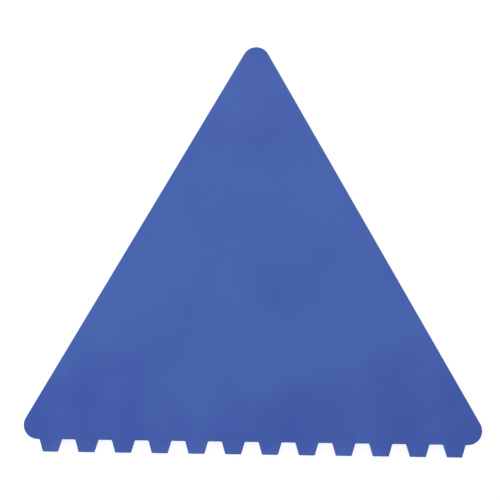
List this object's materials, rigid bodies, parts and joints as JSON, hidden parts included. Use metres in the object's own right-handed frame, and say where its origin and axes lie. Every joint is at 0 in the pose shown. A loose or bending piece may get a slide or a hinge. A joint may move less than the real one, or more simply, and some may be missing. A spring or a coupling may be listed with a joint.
{
  "type": "windshield ice scraper",
  "caption": "Flat triangular pocket ice scraper with rounded corners, two plain scraping edges bevelled on the back, and a toothed edge for thick ice.",
  "frame": {"origin": "under the middle of the plate's bounding box, on the surface that the flat back rests on", "axes": "+Z out of the flat front face, +X along the row of teeth, +Y from the teeth towards the opposite corner"},
  "size_m": [0.12, 0.1082, 0.003],
  "materials": {
    "blue_plastic": "satin"
  },
  "bodies": {
    "root": {"scraper_plate": "blue_plastic"}
  },
  "joints": []
}
